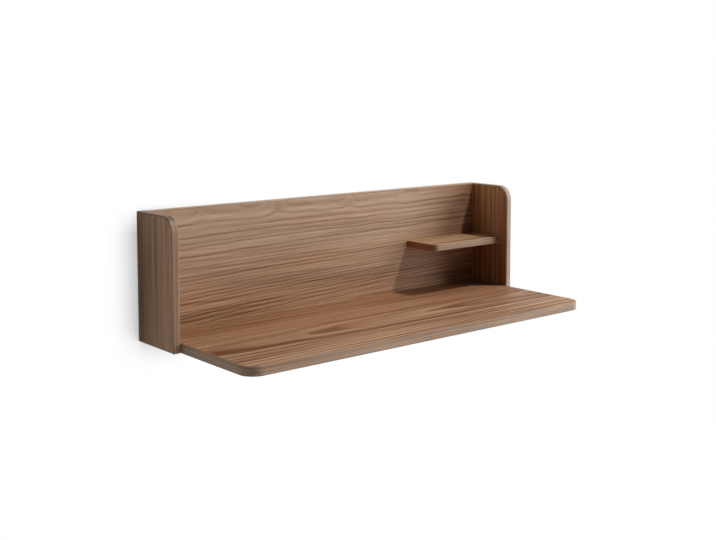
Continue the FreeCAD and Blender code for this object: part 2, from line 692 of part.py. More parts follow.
# Back panel to side panels.
copies("back_panel_dowels", dowel, [
    (across, back_middle, height, UPRIGHT)
    for across in (left_dowel_x, right_dowel_x) for height in back_dowel_heights
])
copies("back_panel_cam_bolts", cam_bolt, [
    (f"{sign}{inner}", back_middle, height, rotation)
    for sign, rotation in (("-", UPRIGHT), ("+", TURNED)) for height in back_cam_heights
])
copies("back_panel_cams", back_cam, [
    (f"{sign}{cam_x}", "0", height, rotation)
    for sign, rotation in (("-", INTO_BACK), ("+", INTO_BACK_TURNED))
    for height in back_cam_heights
])

# Desk top to side panels.
copies("desk_end_dowels", dowel, [
    (across, place, desk_middle, UPRIGHT)
    for across in (left_dowel_x, right_dowel_x) for place in desk_dowel_places
])
copies("desk_cam_bolts", cam_bolt, [
    (f"{sign}{inner}", place, desk_middle, rotation)
    for sign, rotation in (("-", UPRIGHT), ("+", TURNED)) for place in desk_cam_places
])
copies("desk_cams", desk_cam, [
    (f"{sign}{cam_x}", place, bottom, rotation)
    for sign, rotation in (("-", UPRIGHT), ("+", TURNED)) for place in desk_cam_places
])
copies("desk_cam_caps", cap, [
    (f"{sign}{cam_x}", place, bottom, UPRIGHT) for sign in "-+" for place in desk_cam_places
])

# Desk top to back panel.
copies("desk_rear_dowels", dowel, [
    (place, rear_dowel_y, desk_middle, ACROSS) for place in desk_rear_dowel_places
])
copies("desk_rear_screws", long_screw, [
    (place, "0", desk_middle, UPRIGHT) for place in desk_screw_places
])

# Shelf to right side panel and back panel.
copies("shelf_end_dowels", dowel, [
    (right_dowel_x, place, shelf_middle, UPRIGHT) for place in shelf_dowel_places
])
copies("shelf_cam_bolt", cam_bolt, [(inner, shelf_cam_place, shelf_middle, TURNED)])
copies("shelf_cam", small_cam, [(cam_x, shelf_cam_place, shelf_underside, TURNED)])
copies("shelf_cam_cap", cap, [(cam_x, shelf_cam_place, shelf_underside, UPRIGHT)])
copies("shelf_rear_dowel", dowel, [
    (shelf_rear_dowel_place, rear_dowel_y, shelf_middle, ACROSS)
])
copies("shelf_rear_screws", long_screw, [
    (place, "0", shelf_middle, UPRIGHT) for place in shelf_screw_places
])

# Hanging rail to back panel.
copies("hanging_rail_screws", rail_screw, [
    (place, rail_screw_seat, hanging_screw_line, UPRIGHT) for place in rail_screw_places
])


# ---- checks and files --------------------------------------------------------------------------

doc.recompute()
for item in doc.Objects:
    if {"Invalid", "Error"} & set(item.State):
        raise RuntimeError(f"{item.Name} is {item.State}")
for node in nodes:
    if node.Shape.isNull() or not node.Shape.isValid() or not node.Shape.Solids:
        raise RuntimeError(f"{node.Label} has no valid solid")

os.makedirs("parts", exist_ok=True)
for node in nodes:
    node.Shape.exportStep(f"parts/{node.Label}.step")
print(f"{len(nodes)} nodes written")
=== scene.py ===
import math

import bmesh
import bpy
from mathutils import Matrix, Vector


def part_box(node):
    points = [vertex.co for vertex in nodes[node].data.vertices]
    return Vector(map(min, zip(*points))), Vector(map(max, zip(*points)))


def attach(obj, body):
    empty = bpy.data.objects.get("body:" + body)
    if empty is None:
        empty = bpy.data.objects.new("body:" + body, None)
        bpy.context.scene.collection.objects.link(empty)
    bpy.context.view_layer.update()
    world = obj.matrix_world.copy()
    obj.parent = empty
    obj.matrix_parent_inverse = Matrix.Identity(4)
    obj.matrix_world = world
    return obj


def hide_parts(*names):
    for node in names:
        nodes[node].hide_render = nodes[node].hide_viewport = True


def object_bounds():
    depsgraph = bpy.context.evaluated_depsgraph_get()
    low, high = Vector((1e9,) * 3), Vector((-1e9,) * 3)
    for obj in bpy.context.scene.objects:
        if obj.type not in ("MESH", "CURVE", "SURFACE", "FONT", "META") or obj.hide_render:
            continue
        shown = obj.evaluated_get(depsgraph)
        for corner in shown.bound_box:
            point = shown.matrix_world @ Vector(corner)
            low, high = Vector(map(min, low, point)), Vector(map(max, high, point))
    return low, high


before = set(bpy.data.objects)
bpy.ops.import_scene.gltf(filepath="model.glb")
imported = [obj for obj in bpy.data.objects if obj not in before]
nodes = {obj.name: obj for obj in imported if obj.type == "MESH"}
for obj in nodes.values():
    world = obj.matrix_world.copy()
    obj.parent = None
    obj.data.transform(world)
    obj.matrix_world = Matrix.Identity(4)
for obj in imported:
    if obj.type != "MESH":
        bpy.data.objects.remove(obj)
cad_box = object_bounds()


# ---- Wall rail and hanging rail ------------------------------------------------------------------
# Two equal folded strips of aluminium, 2 mm thick, that hook into each other. One is screwed to the
# wall, the other into the recess in the rear of the back panel. Mill finish, drawn along their length.

def feed(tree, socket, value):
    """Gives a socket its value, or joins it to the output that feeds it."""
    if isinstance(value, bpy.types.NodeSocket):
        tree.links.new(value, socket)
    else:
        socket.default_value = value


def add(tree, kind, inputs=None, **settings):
    """One node of a material. inputs names or numbers its sockets, with what each one gets."""
    made = tree.nodes.new("ShaderNode" + kind)
    for name, value in settings.items():
        setattr(made, name, value)
    for name, value in (inputs or {}).items():
        feed(tree, made.inputs[name], value)
    return made


def calc(tree, operation, *values):
    """One step of arithmetic."""
    return add(tree, "Math", dict(enumerate(values)), operation=operation).outputs[0]


def spread(tree, value, low, high, to_low=0.0, to_high=1.0):
    """The value, carried from one range to another and kept within it."""
    inputs = {"Value": value, "From Min": low, "From Max": high, "To Min": to_low, "To Max": to_high}
    return add(tree, "MapRange", inputs).outputs[0]


def mix_colours(tree, share, first, second, blend="MIX"):
    # for colours, this node has its inputs at 6 and 7 and its output at 2
    inputs = {"Factor": share, 6: first, 7: second}
    return add(tree, "Mix", inputs, data_type="RGBA", blend_type=blend).outputs[2]


def noise(tree, place, fineness, detail=2.0, shift=(0.0, 0.0, 0.0)):
    """Soft random value about 0.5. fineness is its number of swings to the metre each way."""
    mapped = add(tree, "Mapping", {"Vector": place, "Location": shift, "Scale": fineness})
    made = add(tree, "TexNoise", {"Vector": mapped.outputs[0], "Scale": 1.0, "Detail": detail})
    return made.outputs[0]


def new_material(name):
    """A new material, its node tree, its shader and the piece's own coordinates in metres."""
    material = bpy.data.materials.new(name)
    material.use_nodes = True
    tree = material.node_tree
    place = add(tree, "TexCoord").outputs["Object"]
    return material, tree, tree.nodes["Principled BSDF"], place


def finish_surface(tree, shader, colour, roughness, height, depth):
    """Joins colour, roughness and relief to the shader. depth is the relief's height in metres."""
    bump = add(tree, "Bump", {"Height": height, "Strength": 0.6, "Distance": depth})
    tree.links.new(colour, shader.inputs["Base Color"])
    tree.links.new(roughness, shader.inputs["Roughness"])
    tree.links.new(bump.outputs[0], shader.inputs["Normal"])


def paint(node, material):
    """Gives a piece of the frame its finish."""
    mesh = nodes[node].data
    mesh.materials.clear()
    mesh.materials.append(material)


def drawn_aluminium():
    material, tree, shader, place = new_material("drawn_aluminium")
    draw_lines = noise(tree, place, (3.0, 1500.0, 1500.0), 3.0)
    haze = noise(tree, place, (30.0, 45.0, 45.0), 3.0, (3.0, 1.0, 2.0))
    colour = mix_colours(tree, haze, (0.56, 0.57, 0.58, 1), (0.66, 0.67, 0.68, 1))
    roughness = spread(tree, calc(tree, "ADD", draw_lines, haze), 0.7, 1.3, 0.26, 0.42)
    finish_surface(tree, shader, colour, roughness, draw_lines, 0.00004)
    shader.inputs["Metallic"].default_value = 1.0
    return material


aluminium = drawn_aluminium()
paint("wall_rail", aluminium)
paint("hanging_rail", aluminium)


# ---- Back panel ----------------------------------------------------------------------------------
# A 22 mm board of fibreboard with crown-cut walnut on both faces, its grain along the wall. The tips
# of the cut's arches lie near its upper edge, and below them the rings run straight. Satin lacquer.

veneer_thick = 0.0005
board_gloss = 0.10
edging_gloss = 0.24
core_tones = ((0.27, 0.175, 0.10, 1), (0.44, 0.31, 0.20, 1))
core_roughness = 0.85
hue_tints = ((0.97, 1.01, 0.98, 1), (1.03, 0.99, 0.96, 1))
fibre_tints = ((0.86, 0.81, 0.76, 1), (1.12, 1.15, 1.19, 1))
pore_tint = (0.72, 0.60, 0.50, 1)


def vector(tree, operation, first, second):
    """One step of arithmetic on places, or on colours that may pass white."""
    return add(tree, "VectorMath", {0: first, 1: second}, operation=operation).outputs[0]


def lacquer(shader, gloss):
    shader.inputs["IOR"].default_value = 1.5
    shader.inputs["Specular IOR Level"].default_value = gloss


def show_core(tree, place, inward, faces, colour, roughness):
    """Bare fibreboard deeper than the veneer, as a board shows it in its recess, its holes and its
    unedged ends. Gives the colour and roughness with it."""
    clumps = noise(tree, place, (160.0, 160.0, 160.0), 3.0)
    strands = noise(tree, place, (900.0, 900.0, 900.0), 2.0)
    share = calc(tree, "ADD", calc(tree, "MULTIPLY", clumps, 0.5), calc(tree, "MULTIPLY", strands, 0.5))
    core = mix_colours(tree, spread(tree, share, 0.35, 0.65), *core_tones)
    under = calc(tree, "MULTIPLY", calc(tree, "GREATER_THAN", inward, faces[0] + veneer_thick),
                 calc(tree, "LESS_THAN", inward, faces[1] - veneer_thick))
    roughness = calc(tree, "MAXIMUM", roughness, calc(tree, "MULTIPLY", under, core_roughness))
    return mix_colours(tree, under, colour, core), roughness


def swing(tree, board, size, fineness, detail=1.0, shift=(0.0, 0.0, 0.0)):
    """Random shift either way, in metres."""
    centred = calc(tree, "SUBTRACT", noise(tree, board, fineness, detail, shift), 0.5)
    return calc(tree, "MULTIPLY", centred, size)


def cut_log(tree, board, along, across, heart, sink, taper, wander, tips):
    """How far across from the log's middle a point of the board lies, and how far from it in all.
    The middle wanders along the log, and the rings are never quite round. veneer_board tells what
    the other values are."""
    off_heart = calc(tree, "SUBTRACT", across, heart[0])
    off_heart = calc(tree, "MULTIPLY", off_heart, calc(tree, "MULTIPLY_ADD", along, taper, 1.0))
    for crook in (swing(tree, board, 0.040 * wander, (1.2, 0.0, 0.0)),
                  swing(tree, board, 0.030 * wander, (4.5, 7.0, 7.0), 2.0, (0.0, 5.0, 0.0)),
                  swing(tree, board, 0.009 * wander, (15.0, 26.0, 26.0), 2.0),
                  swing(tree, board, 0.003 * wander, (50.0, 90.0, 90.0))):
        off_heart = calc(tree, "ADD", off_heart, crook)
    deep = calc(tree, "MULTIPLY_ADD", along, sink, heart[1])
    rise = swing(tree, board, 0.040 * wander, (3.0, 0.0, 0.0), 2.0, (7.0, 0.0, 0.0))
    deep = calc(tree, "ADD", deep, rise)
    tip_reach = 0.06
    at_tips = spread(tree, calc(tree, "ABSOLUTE", off_heart), 0.0, tip_reach, 1.0, 0.0)
    tip_swing = swing(tree, board, tips, (9.0, 0.0, 0.0), 1.0, (2.0, 0.0, 0.0))
    deep = calc(tree, "ADD", deep, calc(tree, "MULTIPLY", at_tips, tip_swing))
    radius = calc(tree, "SQRT", calc(tree, "ADD", calc(tree, "MULTIPLY", off_heart, off_heart),
                                     calc(tree, "MULTIPLY", deep, deep)))
    return off_heart, radius


def growth_rings(tree, radius, rings, seed):
    """How dark the log's rings are, from 0 to 1. Each starts pale, darkens slowly and ends at once;
    some are faint, some are strong."""
    by_radius = add(tree, "CombineXYZ", {0: radius, 1: seed}).outputs[0]
    uneven = noise(tree, by_radius, (45.0, 1.0, 1.0), 2.0)
    count = calc(tree, "MULTIPLY_ADD", uneven, 1.8, calc(tree, "DIVIDE", radius, rings))
    late = add(tree, "ValToRGB", {0: calc(tree, "FRACT", count)})
    late.color_ramp.interpolation = "EASE"
    for position, shade in ((0.28, 0.12), (0.55, 0.45), (0.78, 1.0), (0.93, 0.85)):
        late.color_ramp.elements.new(position).color = (shade, shade, shade, 1)
    late.color_ramp.elements[-1].color = (0, 0, 0, 1)
    strong = add(tree, "TexWhiteNoise", {"W": calc(tree, "FLOOR", count)},
                 noise_dimensions="1D").outputs[0]
    return calc(tree, "MULTIPLY", late.outputs[0], spread(tree, strong, 0.0, 1.0, 0.30, 1.0))


def fibres_and_pores(tree, board, line):
    """Fine fibres, and the open pores of walnut as short dashes, most of them where rings are dark."""
    fibre = noise(tree, board, (9.0, 330.0, 330.0), 2.0)
    pore = spread(tree, noise(tree, board, (70.0, 1300.0, 1300.0), 1.0), 0.60, 0.72)
    return fibre, calc(tree, "MULTIPLY", pore, spread(tree, line, 0.0, 1.0, 0.35, 1.0))


def heartwood_stripe(tree, along, aside, half_width, start, strength):
    """A darker band along the board. It fades over its edges, and comes in before its start."""
    full_share = 0.3
    coming_in = 0.15
    band = spread(tree, calc(tree, "ABSOLUTE", aside), full_share * half_width, half_width, strength, 0.0)
    return calc(tree, "MULTIPLY", band, spread(tree, along, start - coming_in, start))


def veneer_board(node, name, axes, seed, heart, rings, wander, tones, warm_and_shade_side, lines, sink=0.0,
                 taper=0.0, tips=0.0, reverse=None, patch=None, stripes=()):
    """Gives both faces of a board walnut sliced from one log, which seed picks. axes names the
    board's directions along the grain, across it and into it. heart is where the log's middle lies,
    across and in; sink is how far in it moves to the metre, and taper by what share the rings close
    up. rings is their width, wander how crooked they are and tips how far the tips of their arches
    swing. tones are the pale wood, the dark end of a ring and the tint of the warm, darker side,
    which on the left side panel is painted shade near the wall; the argument after tones is where
    across the board that tint starts and is full, and lines gives two places across and how dark a
    ring gets at each. reverse is the tint of the board's second face; on the right side panel it
    takes off the outer face the painted warm bounce light that the tones give the inner face. patch
    is a darker corner, which on the back panel is painted shade beside the right side panel: where
    along the board and where across it starts and is full, and its tint. stripes are darker bands
    of heartwood: their place across, half their width, where along the board each has come in, and
    how dark it is."""
    material, tree, shader, place = new_material(name)
    low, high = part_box(node)
    faces = [corner["XYZ".index(axes[2])] for corner in (low, high)]
    split = add(tree, "SeparateXYZ", {0: place})
    along, across, inward = (split.outputs[axis] for axis in axes)
    board = add(tree, "CombineXYZ", {0: along, 1: across, 2: inward}).outputs[0]
    board = vector(tree, "ADD", board, (3.7 * seed, 1.3 * seed, 2.9 * seed))
    off_heart, radius = cut_log(tree, board, along, across, heart, sink, taper, wander, tips)
    line = growth_rings(tree, radius, rings, seed)

    # how dark the wood is: rings and narrow streaks, then broad bands, then heartwood
    streak = calc(tree, "SUBTRACT", noise(tree, board, (2.0, 120.0, 120.0), 2.0), 0.40)
    band = calc(tree, "SUBTRACT", noise(tree, board, (1.2, 24.0, 24.0), 2.0, (5.0, 1.0, 0.0)), 0.5)
    streak_weight = 2.2
    band_weight = 0.55
    share = calc(tree, "MULTIPLY_ADD", streak, streak_weight, line)
    share = calc(tree, "MULTIPLY", share, spread(tree, across, *lines))
    share = calc(tree, "MULTIPLY_ADD", band, band_weight, share)
    for place_across, half_width, start, strength in stripes:
        aside = calc(tree, "SUBTRACT", off_heart, place_across - heart[0])
        stripe = heartwood_stripe(tree, along, aside, half_width, start, strength)
        share = calc(tree, "ADD", share, stripe)
    pale, dark, warm_and_shade_tint = tones
    colour = mix_colours(tree, spread(tree, share, 0.0, 1.0), pale, dark)

    # greener and redder patches; the warm, darker side, which on the left side panel is painted shade
    # near the wall; the second face, which on the right side panel sheds the painted warm bounce light;
    # and the darker corner, which on the back panel is painted shade
    hue = noise(tree, board, (2.0, 16.0, 16.0), 2.0, (0.0, 3.0, 4.0))
    hue = mix_colours(tree, spread(tree, hue, 0.35, 0.65), *hue_tints)
    colour = vector(tree, "MULTIPLY", colour, hue)
    cast = swing(tree, board, 0.16, (1.3, 6.0, 6.0), 2.0, (2.0, 2.0, 0.0))
    cast = spread(tree, calc(tree, "ADD", across, cast), *warm_and_shade_side)
    colour = mix_colours(tree, cast, colour, warm_and_shade_tint, "MULTIPLY")
    if reverse:
        second = calc(tree, "GREATER_THAN", inward, sum(faces) / 2)
        colour = mix_colours(tree, second, colour, reverse, "MULTIPLY")
    if patch:
        ends_along, ends_across, patch_tint = patch
        corner = calc(tree, "MULTIPLY", spread(tree, along, *ends_along),
                      spread(tree, across, *ends_across))
        colour = mix_colours(tree, corner, colour, patch_tint, "MULTIPLY")

    # fibres and pores tint, roughen and dent the surface
    fibre, pore = fibres_and_pores(tree, board, line)
    tint = mix_colours(tree, spread(tree, fibre, 0.25, 0.75), *fibre_tints)
    tint = mix_colours(tree, pore, tint, pore_tint, "MULTIPLY")
    colour = vector(tree, "MULTIPLY", colour, tint)
    roughness = spread(tree, calc(tree, "ADD", fibre, pore), 0.3, 1.5, 0.50, 0.66)
    colour, roughness = show_core(tree, place, inward, faces, colour, roughness)
    finish_surface(tree, shader, colour, roughness, calc(tree, "SUBTRACT", fibre, pore), 0.00012)
    lacquer(shader, board_gloss)
    paint(node, material)


back_tones = ((0.476, 0.334, 0.243, 1), (0.170, 0.090, 0.048, 1), (1.03, 0.84, 0.70, 1))
# painted shade: the upper right of the back panel, beside the right side panel and above the shelf, is
# darkened as if in that panel's shade
back_painted_shade = ((0.26, 0.50), (-0.12, -0.05), (0.72, 0.57, 0.46, 1))
veneer_board("back_panel", "back_panel_veneer", "XZY", seed=16.0, heart=(0.085, 0.085), rings=0.0074,
             wander=0.33, tones=back_tones, warm_and_shade_side=(0.02, -0.20), lines=(-0.20, 0.02, 0.92, 0.48),
             taper=0.24, tips=0.048, patch=back_painted_shade)


def edging(name, fine, tones, turnings=(), shift=(0.0, 0.0, 0.0)):
    """Solid walnut strip. fine gives the swings to the metre along X, Y and Z, least along it.
    turnings tell where its colour turns: the axis, the places where that starts and is full, and
    the tint there. Along the feet and the tops of the side panels and along the underside of the
    desk top that tint is painted shade, and at the shelf's free end painted warm bounce light."""
    material, tree, shader, place = new_material(name)
    split = add(tree, "SeparateXYZ", {0: place})
    place = vector(tree, "ADD", place, shift)
    line = noise(tree, place, fine, 3.0)
    fibre = noise(tree, place, tuple(4.0 * value for value in fine), 2.0, (3.0, 1.0, 2.0))
    cast = noise(tree, place, (5.0, 5.0, 5.0), 2.0)
    colour = mix_colours(tree, spread(tree, line, 0.36, 0.66), *tones)
    for axis, start, full, tint in turnings:
        colour = mix_colours(tree, spread(tree, split.outputs[axis], start, full), colour, tint,
                             "MULTIPLY")
    dim = calc(tree, "MULTIPLY", spread(tree, fibre, 0.25, 0.75, 0.90, 1.08),
               spread(tree, cast, 0.3, 0.7, 0.90, 1.08))
    colour = add(tree, "VectorMath", {0: colour, "Scale": dim}, operation="SCALE").outputs[0]
    roughness = spread(tree, fibre, 0.25, 0.75, 0.40, 0.52)
    finish_surface(tree, shader, colour, roughness, fibre, 0.0001)
    lacquer(shader, edging_gloss)
    return material


edging_tones = ((0.355, 0.238, 0.156, 1), (0.202, 0.122, 0.071, 1))
back_edging = edging("back_panel_edging_walnut", (3.0, 300.0, 300.0), edging_tones)
paint("back_panel_upper_edging", back_edging)
paint("back_panel_lower_edging", back_edging)


# ---- Side panels ---------------------------------------------------------------------------------
# Two 18 mm veneered boards that stand on the wall, their grain upright. One bent strip of walnut
# edges the top, the round corner and the front of each, and a straight strip its foot.

# the third of the left tones is painted shade: the left side panel darkens towards the wall, where the
# wall's shade falls on it
left_tones = ((0.478, 0.297, 0.185, 1), (0.135, 0.060, 0.028, 1), (0.46, 0.42, 0.37, 1))
# the right tones are matched to the right side panel's inner face, which lies in shade, so their pale and
# dark tones carry painted warm bounce light; its reverse tint takes that back off the outer face
right_tones = ((0.490, 0.260, 0.130, 1), (0.150, 0.050, 0.015, 1), (0.84, 0.76, 0.66, 1))
veneer_board("left_side_panel", "left_side_veneer", "ZYX", seed=1.0, heart=(-0.42, 0.10),
             rings=0.0095, wander=0.35, tones=left_tones, warm_and_shade_side=(-0.13, 0.0),
             lines=(-1.0, 1.0, 0.64, 0.64), reverse=(0.74, 0.80, 0.86, 1))
veneer_board("right_side_panel", "right_side_veneer", "ZYX", seed=2.0, heart=(-0.45, 0.12),
             rings=0.0080, wander=0.35, tones=right_tones, warm_and_shade_side=(-0.10, 0.0),
             lines=(-1.0, 1.0, 0.72, 0.72), reverse=(0.66, 0.86, 1.15, 1))

left_edging_tones = ((0.357, 0.218, 0.146, 1), (0.204, 0.112, 0.067, 1))
right_edging_tones = ((0.375, 0.269, 0.197, 1), (0.214, 0.138, 0.090, 1))
side_foot, side_top = (corner.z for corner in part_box("left_side_edging"))
# painted shade: the lowest 3 mm of an edging, its lower round-over, darkened as if in the shade under the
# board
painted_shade_underneath = ("Z", side_foot + 0.0028, side_foot + 0.0006, (0.42, 0.38, 0.35, 1))
# painted shade along the top of each side's edging, deep on the left side and slight on the right
for side, tones, top_shade_tint in (("left", left_edging_tones, (0.36, 0.29, 0.22, 1)),
                              ("right", right_edging_tones, (0.77, 0.72, 0.66, 1))):
    painted_shade_on_top = ("Z", side_top - 0.026, side_top - 0.001, top_shade_tint)
    side_edging = edging(f"{side}_side_edging_walnut", (330.0, 4.0, 4.0), tones, (painted_shade_on_top, painted_shade_underneath))
    paint(f"{side}_side_edging", side_edging)
    paint(f"{side}_side_lower_edging", side_edging)


# ---- Desk top ------------------------------------------------------------------------------------
# A 22 mm board, veneered lengthwise with its arches along the middle, and edged round its ends,
# its two round corners and its front with one strip of solid walnut.

desk_tones = ((0.385, 0.240, 0.149, 1), (0.115, 0.043, 0.015, 1), (0.724, 0.596, 0.498, 1))
desk_stripes = ((-0.209, 0.013, -0.15, 0.30), (-0.327, 0.006, -0.50, 0.30), (-0.362, 0.005, -0.50, 0.22))
desk_patch = ((0.05, 0.30), (-0.34, -0.28), (0.91, 0.89, 0.90, 1))
veneer_board("desk_top", "desk_top_veneer", "XYZ", seed=41.0, heart=(-0.265, 0.08), rings=0.0125,
             wander=0.45, tones=desk_tones, warm_and_shade_side=(-0.37, -0.10), lines=(-0.31, -0.25, 1.06, 0.62),
             sink=-0.03, taper=0.28, patch=desk_patch, stripes=desk_stripes)

desk_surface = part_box("desk_top")[1].z
upper_arris = ("Z", desk_surface - 0.0040, desk_surface - 0.0002, (0.83, 0.71, 0.61, 1))
# the desk top's underside is level with the feet of the side panels, so the same painted shade along the
# lower round-over serves both
paint("desk_top_edging", edging("desk_top_edging_walnut", (3.0, 3.0, 300.0), edging_tones,
                                (upper_arris, painted_shade_underneath)))


# ---- Small shelf ---------------------------------------------------------------------------------
# A 19 mm board fixed to the right side panel and to the back panel, veneered along the wall and
# edged round its free end, its round corner and its front.

shelf_tones = ((0.350, 0.230, 0.142, 1), (0.115, 0.048, 0.018, 1), (0.92, 0.80, 0.70, 1))
veneer_board("small_shelf", "small_shelf_veneer", "XYZ", seed=4.0, heart=(-0.30, 0.12), rings=0.0150,
             wander=0.7, tones=shelf_tones, warm_and_shade_side=(-0.14, -0.02), lines=(-1.0, 1.0, 0.66, 0.66))

shelf_edging_tones = ((0.312, 0.190, 0.108, 1), (0.176, 0.098, 0.050, 1))
shelf_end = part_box("shelf_edging")[0].x
# painted warm bounce light: the shelf edging's free end, which faces away from the lamps into shade, is
# made redder
free_end_painted_bounce = ("X", shelf_end + 0.016, shelf_end + 0.003, (1.20, 0.92, 0.72, 1))
paint("shelf_edging", edging("shelf_edging_walnut", (3.0, 3.0, 320.0), shelf_edging_tones,
                             (free_end_painted_bounce,), (0.4, 0.2, 0.0)))


# ---- Dowels --------------------------------------------------------------------------------------
# Fluted beech pins, 8 by 35 mm with chamfered ends, which line the boards up and are glued in. The
# flutes let air and spare glue past.

dowel_radius = 0.004
dowel_length = 0.035
dowel_chamfer = 0.001
dowel_flutes = 24
flute_depth = 0.0003
X_AXIS = Vector((1, 0, 0))
Y_AXIS = Vector((0, 1, 0))
Z_AXIS = Vector((0, 0, 1))


def solids_of(node):
    """Lowest and highest corner of each separate solid of a CAD node."""
    shape = bmesh.new()
    shape.from_mesh(nodes[node].data)
    bmesh.ops.remove_doubles(shape, verts=shape.verts, dist=1e-6)
    waiting = set(shape.verts)
    boxes = []
    while waiting:
        group = [waiting.pop()]
        for vert in group:
            reached = {edge.other_vert(vert) for edge in vert.link_edges} & waiting
            waiting -= reached
            group.extend(reached)
        boxes.append([Vector([pick(vert.co[axis] for vert in group) for axis in range(3)])
                      for pick in (min, max)])
    shape.free()
    return sorted(boxes, key=lambda box: tuple(round(value, 5) for value in box[0]))


def closed_mesh(name, shape):
    """Mesh of a finished shape, with its faces turned outwards."""
    bmesh.ops.recalc_face_normals(shape, faces=shape.faces)
    mesh = bpy.data.meshes.new(name)
    shape.to_mesh(mesh)
    shape.free()
    return mesh


def fit_copies(node, pattern, places, material):
    """One piece that stands for a CAD node and rides with the desk. It has a copy of the pattern,
    which stands on the origin along Z, on each foot and in each direction of places."""
    joined = bmesh.new()
    for foot, direction in places:
        copy = pattern.copy()
        turned = Z_AXIS.rotation_difference(direction).to_matrix().to_4x4()
        copy.transform(Matrix.Translation(foot) @ turned)
        joined.from_mesh(copy)
        bpy.data.meshes.remove(copy)
    mesh = closed_mesh(f"{node}_detailed", joined)
    mesh.materials.append(material)
    piece = bpy.data.objects.new(mesh.name, mesh)
    bpy.context.scene.collection.objects.link(piece)
    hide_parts(node)
    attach(piece, "desk")


def fluted_dowel():
    shape = bmesh.new()
    rim = bmesh.ops.create_circle(shape, cap_ends=True, segments=2 * dowel_flutes,
                                  radius=dowel_radius)["verts"]
    ring = list(rim[0].link_faces[0].edges)
    for vert in rim[::2]:
        vert.co *= 1 - flute_depth / dowel_radius
    narrow = 1 - dowel_chamfer / dowel_radius
    bmesh.ops.scale(shape, verts=rim, vec=(narrow, narrow, 1))
    for rise, growth in ((dowel_chamfer, 1 / narrow), (dowel_length - 2 * dowel_chamfer, 1),
                         (dowel_chamfer, narrow)):
        grown = bmesh.ops.extrude_edge_only(shape, edges=ring)["geom"]
        rim = [item for item in grown if isinstance(item, bmesh.types.BMVert)]
        ring = [item for item in grown if isinstance(item, bmesh.types.BMEdge)]
        bmesh.ops.translate(shape, verts=rim, vec=(0, 0, rise))
        bmesh.ops.scale(shape, verts=rim, vec=(growth, growth, 1))
    bmesh.ops.contextual_create(shape, geom=ring)
    return closed_mesh("dowel", shape)


def beech(name, fine):
    """Pale beech with its small dark flecks. fine gives the swings to the metre along X, Y and Z."""
    material, tree, shader, place = new_material(name)
    grain = noise(tree, place, fine, 3.0)
    fleck = noise(tree, place, tuple(2.5 * value for value in fine), 1.0, (4.0, 2.0, 1.0))
    colour = mix_colours(tree, spread(tree, grain, 0.3, 0.7), (0.60, 0.41, 0.25, 1),
                         (0.48, 0.31, 0.18, 1))
    colour = mix_colours(tree, spread(tree, fleck, 0.62, 0.72, 0.0, 0.7), colour,
                         (0.27, 0.15, 0.08, 1))
    roughness = spread(tree, grain, 0.3, 0.7, 0.55, 0.70)
    finish_surface(tree, shader, colour, roughness, grain, 0.00008)
    return material


dowel = fluted_dowel()
along_x = beech("beech_along_x", (60.0, 700.0, 700.0))
along_y = beech("beech_along_y", (700.0, 60.0, 700.0))
for node, direction, material in (("back_panel_dowels", X_AXIS, along_x),
                                  ("desk_end_dowels", X_AXIS, along_x),
                                  ("desk_rear_dowels", Y_AXIS, along_y),
                                  ("shelf_end_dowels", X_AXIS, along_x),
                                  ("shelf_rear_dowel", Y_AXIS, along_y)):
    places = [((low + high - direction * dowel_length) / 2, direction) for low, high in solids_of(node)]
    fit_copies(node, dowel, places, material)


# ---- Cams and cam bolts --------------------------------------------------------------------------
# Die-cast zinc cams, 15 mm across, sit in blind holes in the boards. Each grips the head of a plated
# steel bolt that is screwed into the face of the next board, and pulls the two together.

bolt_thread_length = 0.011
bolt_root = 0.0019
bolt_crest = 0.0025
bolt_pitch = 0.0012
collar_end = 0.008
collar_radius = 0.0039
shank_end = 0.029
shank_radius = 0.003
neck_end = 0.032
neck_radius = 0.002
head_end = 0.036
head_radius = 0.0035
head_chamfer = 0.0006
point_chamfer_height = 0.0006
point_chamfer_depth = 0.0004
bolt_arris = 0.0002
# heights along the bolt, from its point to its head, and radii
bolt_outline = ((-bolt_thread_length, 0.0), (-bolt_thread_length, bolt_root - point_chamfer_depth),
                (point_chamfer_height - bolt_thread_length, bolt_root), (0.0, bolt_root),
                (0.0, collar_radius - bolt_arris), (bolt_arris, collar_radius),
                (collar_end - bolt_arris, collar_radius), (collar_end, collar_radius - bolt_arris),
                (collar_end, shank_radius), (shank_end, shank_radius), (shank_end, neck_radius),
                (neck_end, neck_radius), (neck_end, head_radius - bolt_arris),
                (neck_end + bolt_arris, head_radius), (head_end - head_chamfer, head_radius),
                (head_end, head_radius - head_chamfer), (head_end, 0.0))


def turn(shape, outline, steps=24):
    """Adds a solid turned about the Z axis. outline gives its heights and radii."""
    verts = [shape.verts.new((radius, 0.0, height)) for height, radius in outline]
    edges = [shape.edges.new(pair) for pair in zip(verts, verts[1:])]
    bmesh.ops.spin(shape, geom=verts + edges, cent=(0, 0, 0), axis=Z_AXIS, angle=math.tau,
                   steps=steps, use_merge=True)
    bmesh.ops.remove_doubles(shape, verts=shape.verts, dist=1e-7)


def cut_thread(shape, start, end, root, crest, pitch, steps=24):
    """Adds a helical ridge about the Z axis. root and crest are its radii at its foot and its top."""
    sunk = root - 0.1 * (crest - root)
    turns = (end - start) / pitch - 1
    corners = ((sunk, start), (sunk, start + 0.8 * pitch), (crest, start + 0.4 * pitch))
    profile = shape.faces.new([shape.verts.new((radius, 0.0, height)) for radius, height in corners])
    bmesh.ops.spin(shape, geom=[profile, *profile.edges, *profile.verts], cent=(0, 0, 0),
                   axis=Z_AXIS, dvec=(0, 0, pitch / steps), angle=math.tau * turns,
                   steps=round(steps * turns))


